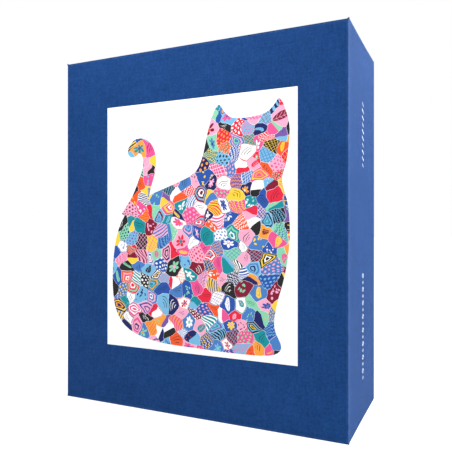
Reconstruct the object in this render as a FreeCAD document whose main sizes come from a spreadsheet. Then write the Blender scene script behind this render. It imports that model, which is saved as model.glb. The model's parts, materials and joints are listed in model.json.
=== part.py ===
import FreeCAD, Part

import math
import os
import random

import Sketcher

# Boxed jigsaw puzzle: a rigid greyboard box covered in book cloth, standing upright with its
# picture label facing -Y. A full-depth cover slides over a tray from the front, and the tray
# holds a film bag of loose puzzle pieces, a folded poster and a small card.
# Frame: origin at the middle of the footprint, +Z up, +X to the right of someone facing the
# label, so the spine with the foil ornament is the +X face.

Vector = FreeCAD.Vector

doc = FreeCAD.newDocument("BoxedPuzzle")
sheet = doc.addObject("Spreadsheet::Sheet", "Dims")

# Driving dimensions in millimetres, apart from counts and angles in degrees.
DIMENSIONS = (
    ("box_width", 211, "outside width of the closed box"),
    ("box_depth", 90, "outside depth of the closed box, front to back"),
    ("box_height", 250, "outside height of the closed box"),
    ("cloth", 0.4, "thickness of the covering cloth"),
    ("board", 2, "thickness of the greyboard"),
    ("tape", 0.15, "thickness of the paper tape in the corners"),
    ("lining", 0.15, "thickness of the lining paper"),
    ("turn_in", 15, "how far the cloth is turned in over the rim"),
    ("tape_leg", 12, "width of the corner tape on each wall"),
    ("slip_gap", 0.5, "gap between the tray and the cover on every side"),
    ("label_width", 143, "width of the picture label"),
    ("label_height", 171, "height of the picture label"),
    ("label_shift", 3, "how far the label's middle lies to the right"),
    ("label_low", 42.6, "height of the label's bottom edge"),
    ("label_paper", 0.2, "thickness of the label"),
    ("label_sink", 0.25, "depth of the pressed panel that takes the label"),
    ("foil", 0.08, "thickness of the foil stamped into the cloth"),
    ("mark_span", 6, "size of a foil mark across the spine"),
    ("mark_stroke", 1.1, "width of a foil stroke"),
    ("mark_pitch", 4.5, "distance from one foil mark to the next"),
    ("upper_marks", 10, "number of marks in the upper ornament"),
    ("upper_low", 166, "height where the upper ornament starts"),
    ("lower_marks", 16, "number of marks in the lower ornament"),
    ("lower_low", 25.5, "height where the lower ornament starts"),
    ("piece_side", 17.6, "side of a puzzle piece without its knobs"),
    ("piece_board", 1.9, "thickness of a puzzle piece"),
    ("knob_radius", 2.65, "radius of a knob"),
    ("knob_offset", 1.95, "distance of a knob's centre from the side"),
    ("puzzle_columns", 18, "pieces across the finished puzzle"),
    ("puzzle_rows", 28, "pieces up the finished puzzle"),
    ("layers", 14, "layers of loose pieces in the bag, wide and narrow in turn"),
    ("layer_columns", 7, "pieces across a wide layer, one more than in a narrow one"),
    ("layer_rows", 6, "pieces up a wide layer, one more than in a narrow one"),
    ("cell", 27, "room for one loose piece in a layer"),
    ("layer_pitch", 4.3, "depth of one layer of loose pieces"),
    ("layer_drift", 5, "how far off its middle a narrow layer may lie"),
    ("piece_tilt", 5, "largest tilt of a loose piece, in degrees"),
    ("film", 0.3, "wall of the film bag, with its creases"),
    ("bag_margin", 3.4, "room round the layers inside the bag"),
    ("bag_ease", 0.5, "room in front of and behind the layers"),
    ("bag_round", 5, "radius of the bag's inside edges"),
    ("bag_gap", 0.6, "gap from the bag to the tray's lining"),
    ("flap_height", 38, "height of the flat sealed end above the bag"),
    ("flap_film", 0.8, "thickness of the flat sealed end"),
    ("poster_width", 176, "width of the poster once folded"),
    ("poster_height", 226, "height of the poster"),
    ("poster_paper", 0.3, "thickness of the poster paper"),
    ("poster_bend", 0.5, "inside radius of the poster's folds"),
    ("poster_gap", 3, "gap from the bag to the poster"),
    ("card_width", 105, "width of the card"),
    ("card_height", 148, "height of the card"),
    ("card_stock", 0.5, "thickness of the card"),
    ("card_round", 4, "corner radius of the card"),
    ("card_gap", 2, "gap from the poster to the card"),
)

for row, (alias, number, meaning) in enumerate(DIMENSIONS, start=1):
    sheet.set(f"A{row}", meaning)
    sheet.set(f"B{row}", str(number))
    sheet.setAlias(f"B{row}", alias)
doc.recompute()

subparts = []


def dim(alias):
    """The number behind an alias, for shapes that are built in code."""
    return float(sheet.get(alias))


def d(text):
    """An expression with each dimension's alias pointed at the sheet."""
    words = []
    for word in text.split():
        bare = word.strip("()-")
        known = any(bare == alias for alias, _, _ in DIMENSIONS)
        words.append(word.replace(bare, "Dims." + bare) if known else word)
    return " ".join(words)


def keep(part, node):
    """Names a finished sub-part and puts it on the list to be written."""
    part.Label = node
    subparts.append(part)
    return part


def slab(name, x, y, z):
    """A box from expressions for its low and high faces along each axis."""
    box = doc.addObject("Part::Box", name)
    for size, axis, (low, high) in (("Length", "x", x), ("Width", "y", y), ("Height", "z", z)):
        box.setExpression(size, f"({high}) - ({low})")
        box.setExpression(f"Placement.Base.{axis}", low)
    return box


def group(name, members):
    """Separate solids that share one node."""
    compound = doc.addObject("Part::Compound", name)
    compound.Links = members
    return compound


def cut(name, base, tool):
    """The base with the tool taken away."""
    result = doc.addObject("Part::Cut", name)
    result.Base = base
    result.Tool = tool
    return result


def origin_plane(body, role):
    """One of a body's own base planes."""
    return next(plane for plane in body.Origin.OriginFeatures if plane.Role == role)


def constrain_rectangle(sketch):
    """Closes a four-line rectangle, squares it and names its four driving distances."""
    for side in range(4):
        sketch.addConstraint(Sketcher.Constraint("Coincident", side, 2, (side + 1) % 4, 1))
    for side, level in enumerate(("Horizontal", "Vertical", "Horizontal", "Vertical")):
        sketch.addConstraint(Sketcher.Constraint(level, side))
    origin, first_corner = (-1, 1), (0, 1)
    for label, kind, places, drawn in (
            ("width", "DistanceX", (0, 1, 0, 2), 2.0),
            ("height", "DistanceY", (1, 1, 1, 2), 2.0),
            ("left", "DistanceX", origin + first_corner, -1.0),
            ("low", "DistanceY", origin + first_corner, 1.0)):
        index = sketch.addConstraint(Sketcher.Constraint(kind, *places, drawn))
        sketch.renameConstraint(index, label)


def rectangle(body, name, centre_x, low_z, width, height):
    """A sketch on the body's XZ plane: an upright rectangle, sized by expressions."""
    sketch = body.newObject("Sketcher::SketchObject", name)
    sketch.AttachmentSupport = (origin_plane(body, "XZ_Plane"), [""])
    sketch.MapMode = "FlatFace"
    corners = (Vector(-1, 1, 0), Vector(1, 1, 0), Vector(1, 3, 0), Vector(-1, 3, 0))
    for start, end in zip(corners, corners[1:] + corners[:1]):
        sketch.addGeometry(Part.LineSegment(start, end), False)
    constrain_rectangle(sketch)
    for label, expression in (("width", width), ("height", height), ("low", low_z),
                              ("left", f"({centre_x}) - ({width}) / 2")):
        sketch.setExpression(f"Constraints.{label}", expression)
    return sketch


def pad(body, sketch, name, thickness):
    """Pads a sketch on the XZ plane towards +Y."""
    feature = body.newObject("PartDesign::Pad", name)
    feature.Profile = sketch
    feature.Reversed = True
    feature.setExpression("Length", thickness)
    return feature


# ---------------------------------------------------------------- the two rigid shells

HALF_WIDTH = d("( box_width / 2 )")
FRONT = d("( - box_depth / 2 )")
BACK = d("( box_depth / 2 )")

# From the outside of the cover to the outside of the tray: cloth, board, cloth turned in, gap.
NEST = d("( cloth + board + cloth + slip_gap )")
TRAY_DEPTH = d("( box_depth - cloth - board - lining - slip_gap )")


def shell(prefix, panel, inset, closed_face, inward, depth):
    """The nodes of one open box, apart from its outer cloth. Its closed panel lies at
    closed_face and its walls run from there towards inward (+1 is +Y); inset is how far it
    sits inside the outside size. It gives back the four outer cloths, for the caller to finish,
    and the functions that measure in from its sides, its ends and its closed face."""
    half = f"({HALF_WIDTH} - {inset})"
    bottom = inset
    top = f"(Dims.box_height - {inset})"

    def across(margin):
        return (f"-({half}) + ({margin})", f"{half} - ({margin})")

    def upright(margin):
        return (f"{bottom} + ({margin})", f"{top} - ({margin})")

    def along(near, far):
        if inward > 0:
            return (f"{closed_face} + ({near})", f"{closed_face} + ({far})")
        return (f"{closed_face} - ({far})", f"{closed_face} - ({near})")

    def four_walls(name, margin, thickness, y):
        """Top and bottom panels over the full width, with the side panels between them."""
        inner = f"({margin}) + ({thickness})"
        x_out, x_in = across(margin), across(inner)
        z_out, z_in = upright(margin), upright(inner)
        return {
            "top": slab(f"{name}_top", x_out, y, (z_in[1], z_out[1])),
            "bottom": slab(f"{name}_bottom", x_out, y, (z_out[0], z_in[0])),
            "left": slab(f"{name}_left", (x_out[0], x_in[0]), y, z_in),
            "right": slab(f"{name}_right", (x_in[1], x_out[1]), y, z_in),
        }

    cloth, board, tape, lining = d("cloth"), d("board"), d("tape"), d("lining")
    skin = f"{cloth} + {board}"
    wall_end = f"{depth} - {cloth}"
    lining_end = f"{depth} - {d('turn_in')}"

    keep(slab(f"{prefix}_panel_board", across(cloth), along(cloth, skin), upright(cloth)),
         f"{prefix}_{panel}_board")
    boards = four_walls(f"{prefix}_wall", cloth, board, along(skin, wall_end))
    for side, wall in boards.items():
        keep(wall, f"{prefix}_{side}_board")

    coverings = four_walls(f"{prefix}_cloth", "0", cloth, along("0", depth))

    # The cloth goes over the rim and is glued down inside the walls.
    over_rim = slab(f"{prefix}_over_rim", across(cloth), along(wall_end, depth), upright(cloth))
    inside = slab(f"{prefix}_inside", across(skin), along(lining_end, wall_end), upright(skin))
    mouth_margin = f"{skin} + {cloth}"
    mouth = slab(f"{prefix}_mouth", across(mouth_margin), along(lining_end, depth),
                 upright(mouth_margin))
    folded = doc.addObject("Part::Fuse", f"{prefix}_folded")
    folded.Base = over_rim
    folded.Tool = inside
    keep(cut(f"{prefix}_turned", folded, mouth), f"{prefix}_cloth_turn_in")

    # Paper tape holds the boards together in each inside corner, under the lining.
    tape_y = along(f"{skin} + {lining}", lining_end)
    x_board, z_board = across(skin), upright(skin)
    leg, thin = d("tape_leg"), tape
    strips = []
    for place, x_low, x_high in (("left", x_board[0], f"{x_board[0]} + {leg}"),
                                 ("right", f"{x_board[1]} - {leg}", x_board[1])):
        for level, z_low, z_high in (("low", z_board[0], f"{z_board[0]} + {leg}"),
                                     ("high", f"{z_board[1]} - {leg}", z_board[1])):
            name = f"{prefix}_{place}_{level}"
            outer = slab(f"{name}_outer", (x_low, x_high), tape_y, (z_low, z_high))
            x_inner = ((f"{x_low} + {thin}", x_high) if place == "left"
                       else (x_low, f"{x_high} - {thin}"))
            z_inner = ((f"{z_low} + {thin}", z_high) if level == "low"
                       else (z_low, f"{z_high} - {thin}"))
            inner = slab(f"{name}_inner", x_inner, tape_y, z_inner)
            strips.append(cut(f"{name}_tape", outer, inner))
    keep(group(f"{prefix}_tapes", strips), f"{prefix}_corner_tapes")

    keep(slab(f"{prefix}_panel_lining", across(skin), along(skin, f"{skin} + {lining}"),
              upright(skin)), f"{prefix}_{panel}_lining")
    papers = four_walls(f"{prefix}_paper", f"{skin} + {tape}", lining,
                        along(f"{skin} + {lining}", lining_end))
    keep(group(f"{prefix}_papers", list(papers.values())), f"{prefix}_wall_lining")
    return coverings, across, upright, along


# ---------------------------------------------------------------- foil ornament on the spine

def foil_solid(outline, hole=None):
    """A foil mark from (y, z) points, flush with the outside of the right-hand cloth."""
    low_x = dim("box_width") / 2 - dim("foil")

    def face_of(points):
        corners = [Vector(low_x, y, z) for y, z in points]
        return Part.Face(Part.makePolygon(corners + corners[:1]))

    face = face_of(outline)
    if hole:
        face = face.cut(face_of(hole))
    return face.extrude(Vector(dim("foil"), 0, 0))


def slanted_bar(middle, span, stroke):
    """A bar across the spine, leaning the way a slanted stroke does."""
    lean = stroke
    half = span / 2
    return foil_solid(((-half, middle + lean - stroke / 2), (half, middle - lean - stroke / 2),
                       (half, middle - lean + stroke / 2), (-half, middle + lean + stroke / 2)))


def diamond(middle, span, stroke):
    """A diamond outline."""
    def points(reach, rise):
        return ((-reach, middle), (0, middle - rise), (reach, middle), (0, middle + rise))

    half, rise = span / 2, dim("mark_pitch") * 0.42
    inner = 1 - stroke / rise
    return foil_solid(points(half, rise), points(half * inner, rise * inner))


def dot(middle, size):
    """A small square stood on its corner."""
    half = size / 2
    return foil_solid(((-half, middle), (0, middle - half), (half, middle), (0, middle + half)))


def ornament(name, node, count, low, shape_of):
    """A row of marks up the middle of the spine."""
    pitch = dim("mark_pitch")
    marks = [shape_of(index, low + (index + 0.5) * pitch) for index in range(count)]
    part = doc.addObject("Part::Feature", name)
    part.Shape = Part.makeCompound(marks)
    part.Placement = FreeCAD.Placement()
    return keep(part, node)


def upper_mark(index, middle):
    span, stroke = dim("mark_span"), dim("mark_stroke")
    return slanted_bar(middle, span if index % 3 else span * 0.6, stroke)


def lower_mark(index, middle):
    span, stroke = dim("mark_span"), dim("mark_stroke")
    return diamond(middle, span, stroke * 0.7) if index % 2 else dot(middle, span * 0.45)


# ---------------------------------------------------------------- cover

cover_cloth = shell("cover", "front", "0", FRONT, +1, d("box_depth"))[0]

upper_foil = ornament("UpperOrnament", "upper_foil_ornament", int(dim("upper_marks")),
                      dim("upper_low"), upper_mark)
lower_foil = ornament("LowerOrnament", "lower_foil_ornament", int(dim("lower_marks")),
                      dim("lower_low"), lower_mark)
cover_cloth["right"] = cut("cover_cloth_right_stamped", cover_cloth["right"],
                           group("FoilMarks", [upper_foil, lower_foil]))
keep(group("CoverCloth", list(cover_cloth.values())), "cover_wall_cloth")

LABEL_BOX = (d("label_shift"), d("label_low"), d("label_width"), d("label_height"))

front_cloth = doc.addObject("PartDesign::Body", "CoverFrontCloth")
cloth_outline = rectangle(front_cloth, "ClothOutline", "0", d("cloth"),
                          d("box_width - 2 * cloth"), d("box_height - 2 * cloth"))
pad(front_cloth, cloth_outline, "ClothPad", d("cloth"))
panel_outline = rectangle(front_cloth, "PanelOutline", *LABEL_BOX)
pressed = front_cloth.newObject("PartDesign::Pocket", "PressedPanel")
pressed.Profile = panel_outline
pressed.setExpression("Length", d("label_sink"))
front_cloth.setExpression("Placement.Base.y", FRONT)
keep(front_cloth, "cover_front_cloth")

label = doc.addObject("PartDesign::Body", "PictureLabel")
label_outline = rectangle(label, "LabelOutline", *LABEL_BOX)
pad(label, label_outline, "LabelPad", d("label_paper"))
label.setExpression("Placement.Base.y", f"{FRONT} + " + d("label_sink - label_paper"))
keep(label, "picture_label")

# ---------------------------------------------------------------- tray

tray_cloth, across, upright, along = shell("tray", "back", NEST, BACK, -1, TRAY_DEPTH)
keep(group("TrayCloth", list(tray_cloth.values())), "tray_wall_cloth")
keep(slab("TrayBackCloth", across(d("cloth")), along("0", d("cloth")), upright(d("cloth"))),
     "tray_back_cloth")

# ---------------------------------------------------------------- bag of loose pieces

layer_count = int(dim("layers"))
room_width = dim("layer_columns") * dim("cell")
room_height = dim("layer_rows") * dim("cell")
room_depth = layer_count * dim("layer_pitch")

inner_width = room_width + 2 * dim("bag_margin")
inner_height = room_height + 2 * dim("bag_margin")
inner_depth = room_depth + 2 * dim("bag_ease")

nest = 2 * dim("cloth") + dim("board") + dim("slip_gap")
tray_floor = nest + 2 * dim("cloth") + dim("board")
tray_back = dim("box_depth") / 2 - dim("cloth") - dim("board") - dim("lining")
bag_low = tray_floor + dim("bag_gap")
bag_back = tray_back - dim("bag_gap")
bag_front = bag_back - inner_depth - 2 * dim("film")


def rounded_box(name, width, depth, height, front, low, radius):
    """A box with all twelve edges rounded, centred on X."""
    box = doc.addObject("Part::Box", f"{name}Block")
    box.Length, box.Width, box.Height = width, depth, height
    box.Placement = FreeCAD.Placement(Vector(-width / 2, front, low), FreeCAD.Rotation())
    fillet = doc.addObject("Part::Fillet", name)
    fillet.Base = box
    fillet.Edges = [(edge, radius, radius) for edge in range(1, 13)]
    return fillet


film = dim("film")
bag_outside = rounded_box("BagOutside", inner_width + 2 * film, inner_depth + 2 * film,
                          inner_height + 2 * film, bag_front, bag_low,
                          dim("bag_round") + film)
bag_inside = rounded_box("BagInside", inner_width, inner_depth, inner_height,
                         bag_front + film, bag_low + film, dim("bag_round"))
bag_top = bag_low + inner_height + 2 * film
flap_width = inner_width - 2 * dim("bag_round")
flap_y = (bag_front + bag_back) / 2 - dim("flap_film") / 2
flap = doc.addObject("Part::Box", "BagFlap")
flap.Length, flap.Width, flap.Height = flap_width, dim("flap_film"), dim("flap_height") + film
flap.Placement = FreeCAD.Placement(Vector(-flap_width / 2, flap_y, bag_top - film),
                                   FreeCAD.Rotation())
bag_closed = doc.addObject("Part::Fuse", "BagWithFlap")
bag_closed.Base = bag_outside
bag_closed.Tool = flap
keep(cut("PieceBag", bag_closed, bag_inside), "piece_bag")


def seam(column, row):
    """Which way the knob points on the seam after this place: +1 onwards or -1 back."""
    return 1 if (3 * column + 5 * row) % 4 < 2 else -1


def knobs(column, row):
    """Bottom, right, top and left side of a piece: 1 a knob, -1 a socket, 0 the border."""
    last_column, last_row = int(dim("puzzle_columns")) - 1, int(dim("puzzle_rows")) - 1
    below = 0 if row == 0 else -seam(row - 1, column)
    right = 0 if column == last_column else seam(column, row)
    above = 0 if row == last_row else seam(row, column)
    left = 0 if column == 0 else -seam(column - 1, row)
    return below, right, above, left


def piece_outline(sides):
    """The closed outline of a piece in the XZ plane, about its own middle."""
    half = dim("piece_side") / 2
    radius, offset = dim("knob_radius"), dim("knob_offset")
    neck = math.sqrt(radius ** 2 - offset ** 2)
    corners = [Vector(-half, 0, -half), Vector(half, 0, -half),
               Vector(half, 0, half), Vector(-half, 0, half)]
    edges = []
    for start, end, kind in zip(corners, corners[1:] + corners[:1], sides):
        if kind == 0:
            edges.append(Part.LineSegment(start, end).toShape())
            continue
        along = (end - start).normalize()
        outward = Vector(along.z, 0, -along.x)
        middle = (start + end) * 0.5
        near, far = middle - along * neck, middle + along * neck
        tip = middle + outward * (kind * (offset + radius))
        edges += [Part.LineSegment(start, near).toShape(), Part.Arc(near, tip, far).toShape(),
                  Part.LineSegment(far, end).toShape()]
    return Part.Wire(edges)


def loose_piece(sides, middle, turn, tilt, tilt_axis):
    """One piece, turned in its layer and tilted a little, about its own middle."""
    thickness = dim("piece_board")
    solid = Part.Face(piece_outline(sides)).extrude(Vector(0, thickness, 0))
    solid.translate(Vector(0, -thickness / 2, 0))
    centre = Vector(0, 0, 0)
    solid.rotate(centre, Vector(0, 1, 0), turn)
    solid.rotate(centre, tilt_axis, tilt)
    solid.translate(middle)
    return solid


shuffle = random.Random(28)
places = [(column, row) for column in range(int(dim("puzzle_columns")))
          for row in range(int(dim("puzzle_rows")))]
shuffle.shuffle(places)


def layer_cells(columns, rows):
    """The middle of each piece in a layer, in the middle of the room for the layers."""
    cell = dim("cell")
    middle_z = bag_low + film + dim("bag_margin") + room_height / 2
    return [((column - (columns - 1) / 2) * cell, middle_z + (row - (rows - 1) / 2) * cell)
            for row in range(rows) for column in range(columns)]


# A narrow layer is one column and one row short, so its pieces lie behind the gaps of the
# layer before it.
wide_layer = layer_cells(int(dim("layer_columns")), int(dim("layer_rows")))
narrow_layer = layer_cells(int(dim("layer_columns")) - 1, int(dim("layer_rows")) - 1)
if len(places) != layer_count // 2 * (len(wide_layer) + len(narrow_layer)):
    raise RuntimeError("the layers do not hold exactly one whole puzzle")

for layer in range(layer_count):
    layer_y = bag_front + film + dim("bag_ease") + (layer + 0.5) * dim("layer_pitch")
    narrow = layer % 2 == 1
    drift = dim("layer_drift") if narrow else 0
    shift_x, shift_z = shuffle.uniform(-drift, drift), shuffle.uniform(-drift, drift)
    solids = []
    for x, z in narrow_layer if narrow else wide_layer:
        heading = math.radians(shuffle.uniform(0, 360))
        tilt_axis = Vector(math.cos(heading), 0, math.sin(heading))
        middle = Vector(x + shift_x, layer_y, z + shift_z)
        solids.append(loose_piece(knobs(*places.pop()), middle, shuffle.uniform(0, 360),
                                  shuffle.uniform(0, dim("piece_tilt")), tilt_axis))
    part = doc.addObject("Part::Feature", f"PieceLayer{layer + 1:02d}")
    part.Shape = Part.makeCompound(solids)
    part.Placement = FreeCAD.Placement()
    keep(part, f"puzzle_pieces_{layer + 1:02d}")

# ---------------------------------------------------------------- paper goods

# The poster is folded in three, like a letter Z seen from above.
paper, bend = dim("poster_paper"), dim("poster_bend")
fold_step = paper + 2 * bend
panel_length = dim("poster_width") - 2 * (paper + bend)
poster_back = bag_front - dim("poster_gap")
poster_low = bag_low
leaf = [Part.makeBox(panel_length, paper, dim("poster_height"),
                     Vector(-panel_length / 2, poster_back - paper - index * fold_step,
                            poster_low)) for index in range(3)]


def poster_fold(end_x, index, sign):
    """Half a tube that joins leaf index to the next one, on the side given by sign."""
    axis = Vector(end_x, poster_back - paper / 2 - (index + 0.5) * fold_step, poster_low)
    height = dim("poster_height")
    tube = Part.makeCylinder(bend + paper, height, axis).cut(Part.makeCylinder(bend, height, axis))
    reach = 2 * (bend + paper)
    half_space = Part.makeBox(reach, 2 * reach, height,
                              axis - Vector(0 if sign > 0 else reach, reach, 0))
    return tube.common(half_space)


poster = doc.addObject("Part::Feature", "FoldedPoster")
poster.Shape = leaf[0].multiFuse(leaf[1:] + [poster_fold(panel_length / 2, 0, +1),
                                             poster_fold(-panel_length / 2, 1, -1)]
                                 ).removeSplitter()
poster.Placement = FreeCAD.Placement()
keep(poster, "folded_poster")

card = doc.addObject("PartDesign::Body", "InfoCard")
card_outline = rectangle(card, "CardOutline", "0", "0", d("card_width"), d("card_height"))
card_pad = pad(card, card_outline, "CardPad", d("card_stock"))
doc.recompute()
corner_edges = [f"Edge{number}" for number, edge in enumerate(card_pad.Shape.Edges, start=1)
                if abs(edge.BoundBox.YLength - dim("card_stock")) < 0.01
                and edge.BoundBox.XLength + edge.BoundBox.ZLength < 0.01]
rounding = card.newObject("PartDesign::Fillet", "CardCorners")
rounding.Base = (card_pad, corner_edges)
rounding.setExpression("Radius", d("card_round"))
poster_front = poster_back - paper - 2 * fold_step
card.Placement = FreeCAD.Placement(
    Vector(0, poster_front - dim("card_gap") - dim("card_stock"), poster_low),
    FreeCAD.Rotation())
keep(card, "info_card")

# ---------------------------------------------------------------- check and write

doc.recompute()
for thing in doc.Objects:
    if "Invalid" in thing.State or "Error" in thing.State:
        raise RuntimeError(f"{thing.Name} failed to build: {thing.State}")

flat_sheet = ((dim("box_width") - 2 * dim("cloth")) * (dim("box_height") - 2 * dim("cloth"))
              * dim("cloth"))
pressed_out = dim("label_width") * dim("label_height") * dim("label_sink")
if abs(flat_sheet - front_cloth.Shape.Volume - pressed_out) > 1:
    raise RuntimeError("the pressed panel did not cut the front cloth")

os.makedirs("parts", exist_ok=True)
for part in subparts:
    shape = part.Shape
    if shape.isNull() or not shape.isValid():
        raise RuntimeError(f"{part.Label} has no valid shape")
    shape.exportStep(f"parts/{part.Label}.step")
print(len(subparts), "sub-parts written")
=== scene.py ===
import json
import random
from itertools import product
from math import atan2, ceil, cos, dist, hypot, pi, radians, sin, sqrt

import bmesh
import bpy
import numpy
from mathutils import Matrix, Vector, geometry, noise


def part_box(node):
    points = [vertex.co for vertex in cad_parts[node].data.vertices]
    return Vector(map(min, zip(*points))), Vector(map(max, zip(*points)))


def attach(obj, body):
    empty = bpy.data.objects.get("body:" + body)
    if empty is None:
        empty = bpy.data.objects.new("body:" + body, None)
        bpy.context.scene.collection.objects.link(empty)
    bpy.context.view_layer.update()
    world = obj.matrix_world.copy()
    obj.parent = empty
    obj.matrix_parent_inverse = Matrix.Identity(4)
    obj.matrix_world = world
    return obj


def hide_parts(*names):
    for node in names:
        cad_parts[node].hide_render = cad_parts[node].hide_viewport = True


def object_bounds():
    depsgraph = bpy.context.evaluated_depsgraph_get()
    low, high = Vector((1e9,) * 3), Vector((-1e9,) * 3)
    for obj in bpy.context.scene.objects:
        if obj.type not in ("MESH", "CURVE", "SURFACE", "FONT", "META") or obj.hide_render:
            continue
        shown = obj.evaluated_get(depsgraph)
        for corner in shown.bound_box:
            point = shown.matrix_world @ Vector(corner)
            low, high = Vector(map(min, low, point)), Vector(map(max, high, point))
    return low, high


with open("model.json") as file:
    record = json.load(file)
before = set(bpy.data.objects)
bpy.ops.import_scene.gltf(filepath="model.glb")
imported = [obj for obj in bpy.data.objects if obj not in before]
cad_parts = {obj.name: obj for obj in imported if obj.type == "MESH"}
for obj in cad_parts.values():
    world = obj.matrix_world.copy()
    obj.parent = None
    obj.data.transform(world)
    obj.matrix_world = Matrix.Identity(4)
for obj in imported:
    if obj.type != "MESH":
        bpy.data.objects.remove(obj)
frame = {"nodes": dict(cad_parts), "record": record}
cad_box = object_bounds()
nodes = frame["nodes"]
scene = bpy.context.scene

MM = 0.001


# ---- shader building

def linear(red, green, blue):
    """A colour given as 0 to 255 on a screen, as the linear colour that shaders use."""
    def one(value):
        value /= 255
        return value / 12.92 if value <= 0.04045 else ((value + 0.055) / 1.055) ** 2.4
    return (one(red), one(green), one(blue), 1.0)


class Shader:
    """A material under construction, around its Principled node."""

    def __init__(self, name):
        self.material = bpy.data.materials.new(name)
        self.material.use_nodes = True
        self.tree = self.material.node_tree
        self.surface = self.tree.nodes["Principled BSDF"]
        self.coordinates = self.node("TexCoord").outputs
        self.place = self.coordinates["Object"]

    def feed(self, socket, value):
        """Wires a socket or node into a socket, or sets the socket's own value."""
        if isinstance(value, bpy.types.Node):
            value = value.outputs[0]
        if isinstance(value, bpy.types.NodeSocket):
            self.tree.links.new(value, socket)
        else:
            socket.default_value = value

    def node(self, kind, inputs=None, **settings):
        made = self.tree.nodes.new("ShaderNode" + kind)
        for key, value in settings.items():
            setattr(made, key, value)
        for key, value in (inputs or {}).items():
            self.feed(made.inputs[key], value)
        return made

    def math(self, operation, *values):
        made = self.node("Math", operation=operation)
        for socket, value in zip(made.inputs, values):
            self.feed(socket, value)
        return made.outputs[0]

    def times(self, first, second):
        return self.math("MULTIPLY", first, second)

    def scaled(self, value, factor, offset):
        return self.math("MULTIPLY_ADD", value, factor, offset)

    def blend(self, factor, low, high):
        """A number that goes from low to high as factor goes from 0 to 1."""
        return self.scaled(factor, self.math("SUBTRACT", high, low), low)

    def colour(self, factor, first, second, blend_type="MIX"):
        made = self.node("Mix", data_type="RGBA", blend_type=blend_type)
        for index, value in ((0, factor), (6, first), (7, second)):
            self.feed(made.inputs[index], value)
        return made.outputs[2]

    def split(self, vector):
        """The X, Y and Z of a vector."""
        return self.node("SeparateXYZ", {"Vector": vector}).outputs

    def noise(self, scale, detail, vector=None, output=0):
        inputs = {"Vector": vector or self.place, "Scale": scale, "Detail": detail}
        return self.node("TexNoise", inputs).outputs[output]

    def bump(self, height, distance, strength):
        made = self.node("Bump", {"Height": height, "Distance": distance, "Strength": strength})
        self.feed(self.surface.inputs["Normal"], made)
        return made

    def set(self, **values):
        for key, value in values.items():
            self.feed(self.surface.inputs[key.replace("_", " ")], value)
        return self.material


def on_face(shader):
    """Two coordinates in metres that run along whichever face of a box they lie on, and how
    far the face looks backwards, from -1 to 1."""
    at, facing = shader.split(shader.place), shader.split(shader.coordinates["Normal"])
    mostly = 0.7
    sideways = shader.math("GREATER_THAN", shader.math("ABSOLUTE", facing[0]), mostly)
    level = shader.math("GREATER_THAN", shader.math("ABSOLUTE", facing[2]), mostly)
    across = shader.blend(sideways, at[0], at[1])
    up = shader.blend(level, at[2], at[1])
    return across, up, facing[1]


THREAD_PITCH = 0.52 * MM
SLUB_LENGTH = 9 * MM


def threads(shader):
    """A plain weave: its relief from -1 to 1, and how thick or thin each thread runs, 0 to 1."""
    across, up, _ = on_face(shader)
    turns = 2 * pi / THREAD_PITCH
    weave = shader.times(shader.math("SINE", shader.times(across, turns)),
                         shader.math("SINE", shader.times(up, turns)))
    streaks = []
    for fine, coarse in ((across, up), (up, across)):
        vector = shader.node("CombineXYZ", {"X": shader.times(fine, 1 / THREAD_PITCH),
                                            "Y": shader.times(coarse, 1 / SLUB_LENGTH)})
        streaks.append(shader.noise(0.6, 1.5, vector))
    return weave, shader.times(shader.math("ADD", *streaks), 0.5)


# ---- materials

def book_cloth():
    """Blue linen-weave book cloth, paler where the threads are rubbed along bends."""
    shader = Shader("book_cloth")
    weave, slub = threads(shader)
    mottle = shader.noise(650, 3)
    blotches = shader.noise(150, 2)
    clouds = shader.noise(22, 2)
    tone = shader.scaled(weave, 0.16, -0.97)
    for part, share in ((slub, 1.0), (mottle, 1.2), (blotches, 0.4), (clouds, 0.35)):
        tone = shader.scaled(part, share, tone)
    dark, light = (0.0006, 0.0225, 0.094, 1), (0.0082, 0.0505, 0.189, 1)
    body = shader.colour(tone, dark, light)
    wear = shader.node("Attribute", attribute_name="wear").outputs["Fac"]
    patchy = shader.math("SMOOTH_MIN", shader.times(wear, shader.noise(300, 4)), 0.8, 0.1)
    colour = shader.colour(patchy, body, (0.05, 0.11, 0.28, 1))
    height = shader.scaled(slub, 1.5, weave)
    shader.bump(height, 0.09 * MM, 0.8)
    return shader.set(Base_Color=colour, Specular_IOR_Level=0.078,
                      Roughness=shader.scaled(mottle, 0.16, 0.6))


def printed_paper():
    """Satin paper that takes its inks from the mesh's colour attribute."""
    shader = Shader("printed_paper")
    grain = shader.noise(1400, 3)
    ink = shader.node("Attribute", attribute_name="ink").outputs["Color"]
    stock = shader.colour(grain, (0.69, 0.69, 0.69, 1), (0.73, 0.73, 0.73, 1))
    toned = shader.colour(1.0, ink, stock, "MULTIPLY")
    shader.bump(grain, 0.02 * MM, 0.4)
    return shader.set(Base_Color=toned, Specular_IOR_Level=0.15,
                      Roughness=shader.scaled(grain, 0.15, 0.5))


def paper(name, first, second, roughness=0.62, fibre=900):
    """Uncoated paper or board: two close tones mixed by its fibres, with a faint tooth."""
    shader = Shader(name)
    tooth = shader.noise(fibre, 4)
    clouds = shader.noise(60, 2)
    tone = shader.scaled(clouds, 0.6, shader.scaled(tooth, 0.9, -0.25))
    shader.bump(tooth, 0.03 * MM, 0.5)
    return shader.set(Base_Color=shader.colour(tone, first, second),
                      Roughness=shader.scaled(tooth, 0.15, roughness))


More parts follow.
